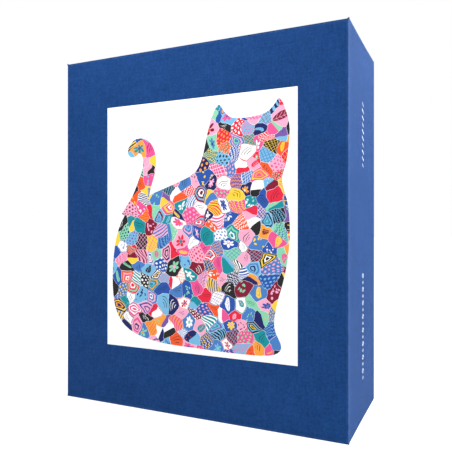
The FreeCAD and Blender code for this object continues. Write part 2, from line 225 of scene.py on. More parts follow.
def greyboard():
    """Recycled board: grey with dark and pale flecks."""
    shader = Shader("greyboard")
    tooth = shader.noise(700, 4)
    flecks = shader.node("TexVoronoi", {"Vector": shader.place, "Scale": 900.0})
    speck = shader.math("LESS_THAN", flecks.outputs["Distance"], 0.16)
    body = shader.colour(tooth, linear(128, 122, 112), linear(176, 170, 158))
    shader.bump(tooth, 0.05 * MM, 0.6)
    return shader.set(Base_Color=shader.colour(speck, body, linear(92, 86, 80)), Roughness=0.85)


def foil():
    """Silver-white stamping foil, broken up where the weave shows through."""
    shader = Shader("stamped_foil")
    weave, slub = threads(shader)
    worn = shader.noise(1100, 3)
    gap = shader.math("GREATER_THAN", shader.scaled(weave, 0.1, worn), 0.54)
    shader.bump(weave, 0.02 * MM, 0.4)
    return shader.set(Base_Color=shader.colour(gap, (0.6, 0.63, 0.7, 1), (0.08, 0.15, 0.38, 1)),
                      Metallic=0.25, Roughness=shader.scaled(slub, 0.2, 0.3))


def clear_film():
    """Thin clear film: see-through face on, and bright where its creases catch the light."""
    shader = Shader("clear_film")
    crease = shader.noise(70, 4)
    shader.set(Base_Color=(0.85, 0.88, 0.92, 1), Metallic=1.0,
               Roughness=shader.scaled(crease, 0.1, 0.06))
    bump = shader.bump(crease, 1.2 * MM, 0.6)
    edge = shader.node("Fresnel", {"IOR": 1.45, "Normal": bump})
    see_through = shader.node("BsdfTransparent", {"Color": (0.985, 0.99, 0.995, 1)})
    share = shader.scaled(edge, 0.35, 0.03)
    mixed = shader.node("MixShader", {0: share, 1: see_through, 2: shader.surface})
    output = shader.tree.nodes["Material Output"]
    shader.feed(output.inputs["Surface"], mixed)
    return shader.material


INKS = {name: linear(*screen) for name, screen in {
    "white": (253, 253, 253), "sky": (118, 183, 222), "blue": (72, 124, 192),
    "royal": (38, 82, 166), "navy": (24, 32, 96), "pink": (243, 170, 200),
    "rose": (233, 84, 146), "red": (228, 36, 66), "orange": (240, 88, 40),
    "amber": (246, 160, 60), "yellow": (250, 208, 62), "teal": (10, 142, 152),
    "mint": (134, 210, 174), "violet": (120, 84, 162), "black": (34, 32, 36),
    "maroon": (130, 18, 50)}.items()}


def piece_board():
    """Puzzle board: printed on one side, which is up or down by chance, and grey elsewhere."""
    shader = Shader("puzzle_board")
    chance = shader.node("NewGeometry").outputs["Random Per Island"]
    facing = shader.split(shader.coordinates["Normal"])[1]
    turned = shader.scaled(shader.math("GREATER_THAN", chance, 0.72), 2.0, -1.0)
    printed = shader.math("GREATER_THAN", shader.times(facing, turned), 0.5)
    shift = shader.node("CombineXYZ", {"X": chance, "Y": 0.0, "Z": chance})
    moved = shader.node("VectorMath", {0: shader.place, 1: shift}, operation="ADD")
    warp = shader.noise(60, 2, moved, "Color")
    wavy = shader.node("VectorMath", {0: warp, 1: (0.012, 0.012, 0.012), 2: moved},
                       operation="MULTIPLY_ADD")
    patches = shader.node("TexVoronoi", {"Vector": wavy, "Scale": 62.0})
    hue = shader.node("SeparateColor", {"Color": patches.outputs["Color"]})
    ramp = shader.node("ValToRGB", {"Fac": hue})
    ramp.color_ramp.interpolation = "CONSTANT"
    chosen = ["white", "blue", "pink", "royal", "white", "red", "sky", "white", "teal", "yellow",
              "white", "navy", "rose", "white", "orange", "mint"]
    stops = ramp.color_ramp.elements
    while len(stops) < len(chosen):
        stops.new(0.5)
    for index, ink in enumerate(chosen):
        stops[index].position = index / len(chosen)
        stops[index].color = INKS[ink]
    dots = shader.node("TexVoronoi", {"Vector": moved, "Scale": 420.0, "Randomness": 0.25})
    dotted = shader.times(shader.math("LESS_THAN", dots.outputs["Distance"], 0.26),
                          shader.math("GREATER_THAN", hue, 0.55))
    picture = shader.colour(dotted, ramp, INKS["white"])
    tooth = shader.noise(900, 4)
    board = shader.colour(tooth, linear(132, 128, 122), linear(186, 182, 174))
    shader.bump(tooth, 0.03 * MM, 0.4)
    return shader.set(Base_Color=shader.colour(printed, board, picture),
                      Roughness=shader.blend(printed, 0.8, 0.35))


def card_face():
    """Cream card with a plain printed frame line."""
    shader = Shader("card_stock")
    across, up, facing = on_face(shader)
    low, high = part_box("info_card")
    middle_z, half_x, half_z = (low.z + high.z) / 2, (high.x - low.x) / 2, (high.z - low.z) / 2
    inset_x = shader.math("SUBTRACT", half_x, shader.math("ABSOLUTE", across))
    inset_z = shader.math("SUBTRACT", half_z,
                          shader.math("ABSOLUTE", shader.math("SUBTRACT", up, middle_z)))
    inset = shader.math("MINIMUM", inset_x, inset_z)
    line = shader.math("COMPARE", inset, 7 * MM, 0.35 * MM)
    front = shader.math("LESS_THAN", facing, -0.5)
    tooth = shader.noise(1000, 4)
    body = shader.colour(tooth, linear(236, 230, 214), linear(248, 244, 234))
    shader.bump(tooth, 0.03 * MM, 0.4)
    return shader.set(Base_Color=shader.colour(shader.times(line, front), body, INKS["royal"]),
                      Roughness=0.7)


# One material for each slot that the CAD part names.
MATERIALS = {
    "blue_cloth": book_cloth(),
    "label_print": printed_paper(),
    "white_lining": paper("lining_paper", linear(232, 232, 228), linear(246, 246, 243)),
    "poster_paper": paper("poster_paper", linear(240, 240, 240), linear(252, 252, 251), 0.4),
    "kraft_tape": paper("kraft_tape", linear(170, 130, 84), linear(200, 160, 112), 0.7, 600),
    "greyboard": greyboard(),
    "silver_foil": foil(),
    "clear_film": clear_film(),
    "puzzle_card": piece_board(),
    "card_stock": card_face(),
}
for entry in frame["record"]["subparts"]:
    mesh = nodes[entry["node"]].data
    mesh.materials.clear()
    mesh.materials.append(MATERIALS[entry["material_slot"]])


# ---- mesh building

def linked(name, data):
    """A new object in the scene: a mesh, light or camera."""
    made = bpy.data.objects.new(name, data)
    scene.collection.objects.link(made)
    return made


def fasten(piece, body, slot, *replaced):
    """Puts a piece on its body in the place of the CAD nodes that it stands for."""
    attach(piece, body)
    if replaced:
        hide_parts(*replaced)


def mesh_object(name, points, faces, material):
    """A smooth-shaded object from points and faces."""
    mesh = bpy.data.meshes.new(name)
    mesh.from_pydata([tuple(point) for point in points], [], faces)
    mesh.materials.append(material)
    mesh.validate()
    tidy = bmesh.new()
    tidy.from_mesh(mesh)
    bmesh.ops.recalc_face_normals(tidy, faces=tidy.faces)
    tidy.to_mesh(mesh)
    tidy.free()
    for polygon in mesh.polygons:
        polygon.use_smooth = True
    return linked(name, mesh)


def bevelled_copy(node, ending, mesh, body, slot, width, segments, angle):
    """A piece that stands for a node, from its edited mesh, with its sharp edges softened."""
    piece = linked(node + ending, mesh)
    bevel = piece.modifiers.new("soft_edges", "BEVEL")
    bevel.width = width
    bevel.segments = segments
    bevel.limit_method = "ANGLE"
    bevel.angle_limit = radians(angle)
    fasten(piece, body, slot, node)


def cloth_piece(name, points, faces, wear, body, replaced):
    """A sheet of cloth stretched over boards, with how rubbed it is at each point, 0 to 1."""
    piece = mesh_object(name, points, faces, MATERIALS["blue_cloth"])
    piece.data.attributes.new("wear", "FLOAT", "POINT").data.foreach_set("value", wear)
    fasten(piece, body, "blue_cloth", *replaced)


def pairs(outline):
    """Each point of a closed outline with the one after it."""
    return zip(outline, outline[1:] + outline[:1])


def spread(low, high, spacing, close_to=()):
    """Places from low to high about spacing apart, closer together near both ends and near
    each place in close_to, so that bends there are round."""
    near = (0.12, 0.3, 0.6, 1.2, 2.6)
    places = {low, high}
    for end, way in ((low, 1), (high, -1)):
        places.update(end + way * step * MM for step in near)
    for middle in close_to:
        places.add(middle)
        places.update(middle + way * step * MM for step in near[:4] for way in (1, -1))
    count = round((high - low) / spacing)
    taken = sorted(places)
    for index in range(1, count):
        place = low + (high - low) * index / count
        if min(abs(place - other) for other in taken) > spacing * 0.45:
            places.add(place)
    return sorted(places)


CLOTH_THICK = 0.4 * MM
BOARD_THICK = 2 * MM
TURN_IN = 15 * MM
BEND = 0.8 * MM
WALL = 2 * CLOTH_THICK + BOARD_THICK
# Where the cloth is folded round a corner of the closed end, it stands out by this much, and
# less and less over this distance.
EAR = 0.75 * MM
EAR_REACH = 4 * MM


def ring_points(half_x, low_z, high_z):
    """Places round the outside of a box's walls. A place on a rounded corner is given by the
    corner's two signs and its own direction, and one on a side by how far along it lies, 0 to
    1, and which side that is."""
    ring = []
    corners = ((1, -1), (1, 1), (-1, 1), (-1, -1))
    steps = 5
    for index, (sign_x, sign_z) in enumerate(corners):
        start = -pi / 2 + index * pi / 2
        for step in range(steps + 1):
            angle = start + pi / 2 * step / steps
            ring.append(("corner", sign_x, sign_z, cos(angle), sin(angle)))
        upright = index % 2 == 0
        length = high_z - low_z if upright else 2 * half_x
        run = spread(0, length - 2 * BEND, 7 * MM)[1:-1]
        ring += [("side", place / (length - 2 * BEND), index) for place in run]
    return ring


def ring_place(entry, half_x, low_z, high_z, inset):
    """Where a ring point lies when the ring is shrunk by inset."""
    radius = max(BEND - inset, 0.15 * MM)
    right, bottom, top = half_x - inset - radius, low_z + inset + radius, high_z - inset - radius
    if entry[0] == "corner":
        _, sign_x, sign_z, cosine, sine = entry
        middle_z = top if sign_z > 0 else bottom
        return sign_x * right + cosine * radius, middle_z + sine * radius
    _, share, side = entry
    upward = bottom + (top - bottom) * share
    across = right - 2 * right * share
    return ((right + radius, upward), (across, top + radius),
            (-right - radius, top + bottom - upward), (-across, bottom - radius))[side]


def wrap_profile(depth):
    """The section of the cloth on a wall, from the closed panel over the rim and back: how far
    in from the outside each point lies, how far along the wall, and how rubbed it is."""
    proud = 0.08 * MM
    profile = [(CLOTH_THICK, 0.0, 0), (0.33 * MM, -0.7 * proud, 0.6), (0.2 * MM, -proud, 1),
               (0.06 * MM, -0.4 * proud, 1), (0.0, 0.15 * MM, 0.9), (0.0, 0.9 * MM, 0.5)]
    profile += [(0.0, place, max(0.0, 0.4 * (1 - place / (7 * MM))))
                for place in spread(0, depth, 6 * MM)[4:-4]]
    profile += [(0.0, depth - 1.0 * MM, 0.3), (0.06 * MM, depth - 0.5 * MM, 0.8),
                (0.3 * MM, depth - 0.12 * MM, 1), (0.8 * MM, depth, 0.7),
                (WALL / 2, depth + 0.03 * MM, 0.4), (WALL - 0.8 * MM, depth, 0.7),
                (WALL - 0.3 * MM, depth - 0.12 * MM, 1),
                (WALL - 0.06 * MM, depth - 0.5 * MM, 0.7), (WALL, depth - 1.0 * MM, 0.2)]
    profile += [(WALL, depth - back * MM, 0.0) for back in (4, 8, 12)]
    profile += [(WALL, depth - TURN_IN + 0.15 * MM, 0.5), (WALL - 0.1 * MM, depth - TURN_IN, 0.9),
                (WALL - 0.37 * MM, depth - TURN_IN, 0.5),
                (WALL - 0.37 * MM, depth - 0.9 * MM, 0), (WALL - 0.6 * MM, depth - 0.45 * MM, 0),
                (0.6 * MM, depth - 0.45 * MM, 0), (CLOTH_THICK, depth - 0.9 * MM, 0)]
    return profile


def sleeve(body, inward):
    """The strip of cloth round a shell's four walls. It starts at the closed panel, runs to
    the rim, goes over it and ends glued down inside. inward is +1 where that is along +Y."""
    low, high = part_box(f"{body}_wall_cloth")
    half_x = high.x
    closed = low.y if inward > 0 else high.y
    depth = high.y - low.y
    profile = wrap_profile(depth)
    ring = ring_points(half_x, low.z, high.z)
    points, wear = [], []
    for inset, along, rub in profile:
        for entry in ring:
            x, z = ring_place(entry, half_x, low.z, high.z, inset)
            corner = entry[0] == "corner"
            outer = inset < 0.5 * WALL
            ragged = 0.0
            if corner and outer and along < EAR_REACH:
                _, sign_x, sign_z, cosine, sine = entry
                bulk = EAR * (1 - along / EAR_REACH) * (0.35 + 1.3 * abs(cosine * sine))
                x += sign_x * bulk * (1.0 if sign_x > 0 else 0.5)
                z += bulk if sign_z > 0 else 0.0
                ragged = 0.3 * bulk
            if abs(along - (depth - TURN_IN)) < 0.2 * MM:
                ragged = -0.5 * MM * noise.noise(Vector((x, z, 0)) * 90)
            points.append(Vector((x, closed + inward * (along - ragged), z)))
            wear.append(max(rub, 0.85 if corner and outer else 0.0))
    count, rows = len(ring), len(profile)
    faces = []
    for row in range(rows):
        for column in range(count):
            first, after = row * count, ((row + 1) % rows) * count
            across = (column + 1) % count
            faces.append((first + column, first + across, after + across, after + column))
    cloth_piece(f"{body}_cloth_sleeve", points, faces, wear, body,
                (f"{body}_wall_cloth", f"{body}_cloth_turn_in"))


def cloth_plate(panel, outward, body, label=None):
    """The flat sheet of cloth over a closed panel. outward is the sign of Y that it faces. It is
    a little lower round its edge, and sunk where it takes a label."""
    low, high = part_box(f"{panel}_cloth")
    face, back = (low.y, high.y) if outward < 0 else (high.y, low.y)
    sink, step, lip = 0.22 * MM, 0.35 * MM, 0.16 * MM
    if label:
        (left, _, bottom), (right, _, top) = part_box(label)
    xs = spread(low.x, high.x, 6 * MM, (left, right) if label else ())
    zs = spread(low.z, high.z, 6 * MM, (bottom, top) if label else ())
    points, wear = [], []
    for z in zs:
        for x in xs:
            edge = min(x - low.x, high.x - x, z - low.z, high.z - z)
            fall = lip * max(0.0, 1 - edge / (0.5 * MM)) ** 2 + 0.03 * MM
            if label:
                within_it = min(x - left, right - x, z - bottom, top - z)
                fall += sink * min(1.0, max(0.0, within_it / step + 0.5))
            points.append(Vector((x, face - outward * fall, z)))
            wear.append(0.7 * max(0.0, 1 - edge / (0.9 * MM)))
    points += [Vector((x, back, z)) for z in zs for x in xs]
    wear += [0.0] * len(wear)
    columns, rows = len(xs), len(zs)
    layer = columns * rows
    faces = []
    for row in range(rows - 1):
        for column in range(columns - 1):
            first = row * columns + column
            quad = (first, first + 1, first + columns + 1, first + columns)
            faces += [quad, tuple(layer + index for index in reversed(quad))]
    border = [*range(columns), *range(2 * columns - 1, layer, columns),
              *range(layer - 2, layer - columns - 1, -1),
              *range(layer - 2 * columns, 0, -columns)]
    for first, after in pairs(border):
        faces.append((first, after, layer + after, layer + first))
    cloth_piece(f"{panel}_sheet", points, faces, wear, body, [f"{panel}_cloth"])


sleeve("cover", +1)
sleeve("tray", -1)
cloth_plate("cover_front", -1, "cover", "picture_label")
cloth_plate("tray_back", +1, "tray")


def raised_foil(node):
    """The stamping, a hair proud of the cloth and soft at its edges."""
    proud = 0.03 * MM
    _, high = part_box(node)
    mesh = nodes[node].data.copy()
    for vertex in mesh.vertices:
        if high.x - vertex.co.x < proud / 2:
            vertex.co.x += proud
    bevelled_copy(node, "_stamped", mesh, "cover", "silver_foil",
                  width=proud, segments=2, angle=30)


raised_foil("upper_foil_ornament")
raised_foil("lower_foil_ornament")


# ---- the printed picture

# Everything here is in millimetres from the middle of the label's bottom edge, x to the right
# and z up: a seated cat in outline, filled with a patchwork of patterned patches.

CAT_BODY = ((10.5, 150), (14, 159.5), (18, 165), (22.5, 159.5), (28, 155.5), (40, 155),
            (51, 157), (56, 161), (60, 165), (64, 157), (66.5, 145), (64.5, 126), (61.5, 114),
            (65.5, 98), (66.5, 78), (63.5, 56), (58, 36), (56.5, 22), (61, 10), (53, 4.5),
            (30, 3.5), (5, 4), (-28, 5.5), (-52, 12), (-64, 26), (-67, 50), (-63.5, 78),
            (-54, 96), (-38, 106), (-16, 114), (-1, 120.5), (5.5, 130))
# The tail's middle line, with half its width at each point.
CAT_TAIL = ((-50, 90, 10), (-44, 103, 7), (-39.5, 115, 5.8), (-36, 125, 5.4),
            (-35.8, 134, 5.3), (-39.5, 140.5, 5.4), (-45.5, 141.8, 5.2), (-49.3, 138.6, 4.6))


def smooth_line(points, steps, closed):
    """A Catmull-Rom curve through points of any number of coordinates."""
    count = len(points)
    last = count if closed else count - 1
    curve = []
    for index in range(last):
        near = [place % count if closed else min(max(place, 0), last)
                for place in range(index - 1, index + 3)]
        before, start, end, after = (points[place] for place in near)
        for step in range(steps):
            share = step / steps
            curve.append(tuple(
                0.5 * (2 * b + (c - a) * share + (2 * a - 5 * b + 4 * c - d) * share ** 2
                       + (3 * b - a - 3 * c + d) * share ** 3)
                for a, b, c, d in zip(before, start, end, after)))
    if not closed:
        curve.append(tuple(points[-1]))
    return curve


def both_sides(line, halves):
    """The two sides of a stroke along a line of points, from half its width at each, and the
    direction in which it ends."""
    left, right = [], []
    for index, ((x, z), half) in enumerate(zip(line, halves)):
        before, after = line[max(index - 1, 0)], line[min(index + 1, len(line) - 1)]
        way = Vector((after[0] - before[0], after[1] - before[1])).normalized()
        left.append((x - way.y * half, z + way.x * half))
        right.append((x + way.y * half, z - way.x * half))
    return left, right, way


def tail_outline():
    """The tail's outline: both sides of its middle line, with a round tip."""
    line = smooth_line(CAT_TAIL, 5, False)
    left, right, way = both_sides([point[:2] for point in line], [point[2] for point in line])
    x, z, half = line[-1]
    heading = atan2(way.y, way.x)
    tip = [(x + half * cos(heading + turn), z + half * sin(heading + turn))
           for turn in (-pi / 2 + pi * step / 8 for step in range(1, 8))]
    return right + tip + left[::-1]


def inside(point, outline):
    """True if the point lies inside the closed outline."""
    x, z = point
    odd = False
    for (x1, z1), (x2, z2) in pairs(outline):
        if (z1 > z) != (z2 > z) and x < (x2 - x1) * (z - z1) / (z2 - z1) + x1:
            odd = not odd
    return odd


def area(outline):
    return abs(sum(x1 * z2 - x2 * z1 for (x1, z1), (x2, z2) in pairs(outline))) / 2


def middle_of(outline):
    return tuple(sum(places) / len(outline) for places in zip(*outline))


def clip(outline, middle, normal):
    """The part of a convex outline on the near side of a line through middle."""
    def side(point):
        return (point[0] - middle[0]) * normal[0] + (point[1] - middle[1]) * normal[1]
    kept = []
    for start, end in pairs(outline):
        first, second = side(start), side(end)
        if first <= 0:
            kept.append(start)
        if (first < 0) != (second < 0) and first != second:
            share = first / (first - second)
            kept.append((start[0] + (end[0] - start[0]) * share,
                         start[1] + (end[1] - start[1]) * share))
    return kept


def cell_of(site, sites, gap):
    """The part of the plane nearest to one site, drawn in by gap on every side. Its corners
    are empty when nothing is left."""
    x, z = site
    reach = 12.0
    cell = [(x - reach, z - reach), (x + reach, z - reach),
            (x + reach, z + reach), (x - reach, z + reach)]
    for other in sites:
        span = hypot(other[0] - x, other[1] - z)
        if 0 < span < 2 * reach:
            way = ((other[0] - x) / span, (other[1] - z) / span)
            near = span / 2 - gap
            cell = clip(cell, (x + way[0] * near, z + way[1] * near), way)
            if len(cell) < 3:
                return []
    return cell


def divided(outline):
    """The same outline with extra points along its sides, so that it can be bent."""
    longest = 1.2
    made = []
    for (x1, z1), (x2, z2) in pairs(outline):
        count = max(1, ceil(hypot(x2 - x1, z2 - z1) / longest))
        made += [(x1 + (x2 - x1) * step / count, z1 + (z2 - z1) * step / count)
                 for step in range(count)]
    return made


def shrunk(outline, share):
    """The outline scaled about its middle."""
    x0, z0 = middle_of(outline)
    return [(x0 + (x - x0) * share, z0 + (z - z0) * share) for x, z in outline]


def wobble(x, z, layer):
    """How far a point of the picture is moved, in millimetres. Each layer is a new pattern."""
    slow = noise.noise(Vector((x / 9, z / 9, layer)))
    quick = noise.noise(Vector((x / 3, z / 3, layer + 5.3)))
    return 4.0 * slow + 0.8 * quick


def bent(outline):
    """The outline with each point moved a little, so that straight seams turn wavy."""
    return [(x + wobble(x, z, 3.1), z + wobble(x, z, 17.6)) for x, z in outline]


def circle(middle, radius, sides, stretch=1.0, turn=0.0):
    """A circle, or an oval if stretched in the direction of turn."""
    cosine, sine = cos(turn), sin(turn)
    points = []
    for step in range(sides):
        angle = 2 * pi * step / sides
        x, z = radius * stretch * cos(angle), radius * sin(angle)
        points.append((middle[0] + x * cosine - z * sine, middle[1] + x * sine + z * cosine))
    return points


def ribbon(line, width):
    """A stroke of even width along a line of points, thinner at both ends."""
    end = width / 2 * 0.55
    left, right, _ = both_sides(line, [end] + [width / 2] * (len(line) - 2) + [end])
    return right + left[::-1]


class Patch:
    """One patch of the patchwork and the frame in which its motif is drawn."""

    def __init__(self, cell, ground, inks, chance):
        self.cell, self.ground, self.chance = cell, ground, chance
        self.first, self.second = inks
        self.middle = middle_of(cell)
        self.size = sqrt(area(cell))
        self.turn = chance.uniform(0, pi)

    def at(self, forward, sideways):
        """A place on the patch, in patch sizes along and across its own direction."""
        cosine, sine = cos(self.turn), sin(self.turn)
        return (self.middle[0] + self.size * (cosine * forward - sine * sideways),
                self.middle[1] + self.size * (sine * forward + cosine * sideways))

    def stroke(self, places, width):
        """A ribbon through places on the patch."""
        return ribbon([self.at(*place) for place in places], width)

    def dots(self):
        step = self.chance.uniform(0.2, 0.27)
        return [(circle(self.at((column + 0.5 * (row % 2)) * step, row * step),
                        self.size * step * 0.3, 7), self.first)
                for row in range(-3, 4) for column in range(-3, 4)]

    def stripes(self):
        step = self.chance.uniform(0.15, 0.24)
        lines = [[(along * 0.2, row * step + 0.03 * sin(along * 1.3))
                  for along in range(-5, 6)] for row in range(-4, 5)]
        return [(self.stroke(line, self.size * step * 0.45), self.first) for line in lines]

    def rings(self):
        shares = ((0.8, self.first), (0.62, self.ground), (0.42, self.second),
                  (0.24, self.ground))
        return [(shrunk(self.cell, share), ink) for share, ink in shares]

    def flower(self):
        petals = self.chance.choice((5, 6, 7))
        angles = [petal * 2 * pi / petals for petal in range(petals)]
        shapes = [(circle(self.at(0.22 * cos(angle), 0.22 * sin(angle)), self.size * 0.09, 8, 1.6,
                          angle + self.turn), self.first) for angle in angles]
        return shapes + [(circle(self.middle, self.size * 0.1, 9), self.second)]

    def leaf(self):
        """One broad leaf with a pale midrib and side veins."""
        veins = [self.stroke([(vein, 0), (vein + 0.12, 0.15 * side)], self.size * 0.03)
                 for vein in (-0.22, -0.06, 0.1) for side in (-1, 1)]
        return [(circle(self.middle, self.size * 0.2, 12, 2.0, self.turn), self.first),
                (self.stroke([(-0.42, 0), (0.42, 0)], self.size * 0.04), self.ground),
                *((vein, self.ground) for vein in veins)]

    def lattice(self):
        lines = []
        for step in range(-3, 4):
            lines.append([(step * 0.22, -0.7), (step * 0.22, 0.7)])
            lines.append([(-0.7, step * 0.22), (0.7, step * 0.22)])
        return [(self.stroke(line, self.size * 0.05), self.first) for line in lines]

    def waves(self):
        lines = [[(along * 0.08, row * 0.2 + 0.05 * (-1) ** along) for along in range(-7, 8)]
                 for row in range(-2, 3)]
        return [(self.stroke(line, self.size * 0.06), self.first) for line in lines]

    def blots(self):
        shapes = []
        for _ in range(9):
            spot = self.at(self.chance.uniform(-0.42, 0.42), self.chance.uniform(-0.42, 0.42))
            wide = self.size * self.chance.uniform(0.04, 0.075)
            shapes.append((circle(spot, wide, 8, 1.4, self.chance.uniform(0, 3)), self.first))
        return shapes

    def arcs(self):
        """Three fine curves nested in one another, dark on a pale ground and pale on a dark."""
        line_ink = "white" if self.ground in ("black", "navy", "maroon") else "black"
        centre = self.at(-0.3, 0)
        shapes = []
        for radius in (0.2, 0.36, 0.52):
            line = [(centre[0] + self.size * radius * cos(self.turn + step * 0.2),
                     centre[1] + self.size * radius * sin(self.turn + step * 0.2))
                    for step in range(-4, 5)]
            shapes.append((ribbon(line, self.size * 0.035), line_ink))
        return shapes

    def halves(self):
        """A second colour over part of the patch, with specks on it."""
        shapes = [([self.at(0.02, -1), self.at(1, -1), self.at(1, 1), self.at(-0.08, 1),
                    self.at(0.06, 0.3), self.at(-0.04, -0.3)], self.first)]
        for _ in range(6):
            spot = self.at(self.chance.uniform(0.1, 0.5), self.chance.uniform(-0.4, 0.4))
            shapes.append((circle(spot, self.size * 0.035, 6), self.second))
        return shapes


MOTIFS = (Patch.dots, Patch.stripes, Patch.rings, Patch.flower, Patch.leaf, Patch.lattice,
          Patch.waves, Patch.blots, Patch.arcs, Patch.arcs, Patch.halves)
PALE = ("white", "yellow", "pink", "sky", "mint", "amber")
GROUNDS = {"white": 2.6, "blue": 2.2, "royal": 2.2, "pink": 2.2, "rose": 1.3, "red": 2.0,
           "sky": 1.6, "teal": 0.8, "navy": 1.4, "black": 1.0, "violet": 0.5, "orange": 0.5,
           "yellow": 0.6, "amber": 0.3, "mint": 0.5, "maroon": 0.7}


def scattered_sites(chance, outlines, room):
    """Patch centres over the cat, about room apart: thrown at random, then evened out."""
    sites = []
    misses = 0
    while misses < 900:
        spot = (chance.uniform(-74, 74), chance.uniform(-4, 172))
        near = any(inside((spot[0] + x, spot[1] + z), outline) for outline in outlines
                   for x, z in ((0, 0), (3, 0), (-3, 0), (0, 3), (0, -3)))
        wide = chance.uniform(0.75, 1.3) * room
        if near and all(hypot(spot[0] - x, spot[1] - z) > wide for x, z in sites):
            sites.append(spot)
            misses = 0
        else:
            misses += 1
    evened = []
    for site in sites:
        x, z = middle_of(cell_of(site, sites, gap=0.0))
        evened.append((site[0] * 0.6 + x * 0.4, site[1] * 0.6 + z * 0.4))
    return evened


def patchwork():
    """The picture's outlines in the order they are printed: the cat's own, which print
    nothing, and for each patch its outline, its ink and the motif that it carries."""
    chance = random.Random(23)
    outlines = smooth_line(CAT_BODY, 4, True), tail_outline()
    sites = scattered_sites(chance, outlines, room=7.4)
    grounds = {}
    patches = []
    for site in sites:
        cell = divided(cell_of(site, sites, gap=0.06))
        taken = {ink for other, ink in grounds.items() if dist(other, site) < 12}
        whole = all(inside(point, outlines[0]) or inside(point, outlines[1]) for point in cell)
        if not whole:
            taken.add("white")
        free = {ink: weight for ink, weight in GROUNDS.items() if ink not in taken}
        ground = chance.choices(list(free), list(free.values()))[0]
        grounds[site] = ground
        if ground in PALE:
            choice = [ink for ink in INKS if ink not in PALE]
        else:
            choice = [ink for ink in PALE if ink not in (ground, "white")]
            choice += ["white"] * 3 if whole else []
        inks = chance.sample(choice, 2)
        patch = Patch(cell, ground, inks, chance)
        shapes = [(cell, inks[0] if ground == "white" else ground)]
        if ground == "white":  # with a thin coloured edge
            shapes.append((shrunk(cell, 0.92), ground))
        shapes += [(shape, ink) for shape, ink in chance.choice(MOTIFS)(patch)
                   if dist(middle_of(shape), patch.middle) < 0.66 * patch.size]
        patches.append([(bent(shape), ink) for shape, ink in shapes])
    return outlines, patches


def within(points, outline):
    """Which rows of an array of points lie inside the closed outline."""
    x, z = points[:, 0], points[:, 1]
    odd = numpy.zeros(len(points), bool)
    for (x1, z1), (x2, z2) in pairs(outline):
        if z1 != z2:
            odd ^= ((z1 > z) != (z2 > z)) & (x < (x2 - x1) * (z - z1) / (z2 - z1) + x1)
    return odd


def inks_at(points, silhouettes, patches):
    """The ink printed at each row of an array of points. A motif prints only on its own patch,
    and a patch only inside the cat."""
    inks = numpy.full(len(points), "white", object)
    cat = within(points, silhouettes[0]) | within(points, silhouettes[1])
    for shapes in patches:
        cell = numpy.array(shapes[0][0])
        near = (points >= cell.min(axis=0)) & (points <= cell.max(axis=0))
        rows = numpy.flatnonzero(cat & near.all(axis=1))
        rows = rows[within(points[rows], shapes[0][0])]
        for shape, ink in shapes:
            inks[rows[within(points[rows], shape)]] = ink
    return inks


def printed_sheet(name, low, high, picture, scale, picture_low, body, slot, *replaced):
    """A sheet facing -Y that carries the picture: its face is divided along every outline, so
    each ink is real geometry. picture_low is where the picture's bottom edge comes."""
    middle_x = (low.x + high.x) / 2 / MM
    silhouettes, patches = picture
    half, bottom, top = (high.x - low.x) / 2 / MM, 0.0, (high.z - low.z) / MM
    shift = picture_low - low.z / MM

    def placed(outline):
        return [(min(max(x * scale, -half), half), min(max(z * scale + shift, bottom), top))
                for x, z in outline]

    silhouettes = [placed(outline) for outline in silhouettes]
    patches = [[(placed(shape), ink) for shape, ink in shapes] for shapes in patches]
    outlines = [[(-half, bottom), (half, bottom), (half, top), (-half, top)]] + silhouettes
    outlines += [shape for shapes in patches for shape, _ in shapes]
    points, edges = [], []
    for outline in outlines:
        first, count = len(points), len(outline)
        edges += [(first + index, first + (index + 1) % count) for index in range(count)]
        points += [Vector(point) for point in outline]
    corners, _, triangles, *_ = geometry.delaunay_2d_cdt(points, edges, [], 0, 1e-4)
    flat = numpy.array([corner[:] for corner in corners])
    inks = inks_at(flat[numpy.array(triangles)].mean(axis=1), silhouettes, patches)

    build = bmesh.new()
    made = [build.verts.new(((x + middle_x) * MM, low.y, z * MM + low.z)) for x, z in flat]
    layer = build.loops.layers.float_color.new("ink")
    for triangle, ink in zip(triangles, inks):
        face = build.faces.new([made[index] for index in triangle])
        for corner in face.loops:
            corner[layer] = INKS[ink]
    border = [edge for edge in build.edges if edge.is_boundary]
    pushed = bmesh.ops.extrude_edge_only(build, edges=border)["geom"]
    back = {item for item in pushed if isinstance(item, bmesh.types.BMVert)}
    bmesh.ops.translate(build, verts=list(back), vec=(0, high.y - low.y, 0))
    rim = [edge for edge in build.edges if edge.is_boundary]
    bmesh.ops.holes_fill(build, edges=rim, sides=0)
    bmesh.ops.recalc_face_normals(build, faces=build.faces)
    for face in build.faces:
        if any(vertex in back for vertex in face.verts):
            for corner in face.loops:
                corner[layer] = INKS["white"]
    mesh = bpy.data.meshes.new(name)
    build.to_mesh(mesh)
    build.free()
    mesh.materials.append(MATERIALS["label_print"])
    fasten(linked(name, mesh), body, slot, *replaced)


picture = patchwork()
label_low, label_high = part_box("picture_label")
printed_sheet("picture_label_printed", label_low, label_high, picture, 1.0, label_low.z / MM,
              "cover", "label_print", "picture_label")


# ---- what the box holds

PIECE_NODES = [name for name in nodes if name.startswith("puzzle_pieces_")]
SIM_SCALE = 10
SIM_FRAMES = 22


def cut_pieces(node):
    """One layer of loose pieces, each a single closed mesh with pressed, slightly soft edges."""
    mesh = nodes[node].data.copy()
    mesh.attributes.remove(mesh.attributes["custom_normal"])
    build = bmesh.new()
    build.from_mesh(mesh)
    bmesh.ops.remove_doubles(build, verts=build.verts, dist=0.005 * MM)
    bmesh.ops.dissolve_limit(build, angle_limit=radians(1), verts=build.verts,
                             edges=build.edges)
    for face in build.faces:
        face.smooth = False
    build.to_mesh(mesh)
    build.free()
    bevelled_copy(node, "_cut", mesh, "bag", "puzzle_card",
                  width=0.22 * MM, segments=1, angle=60)


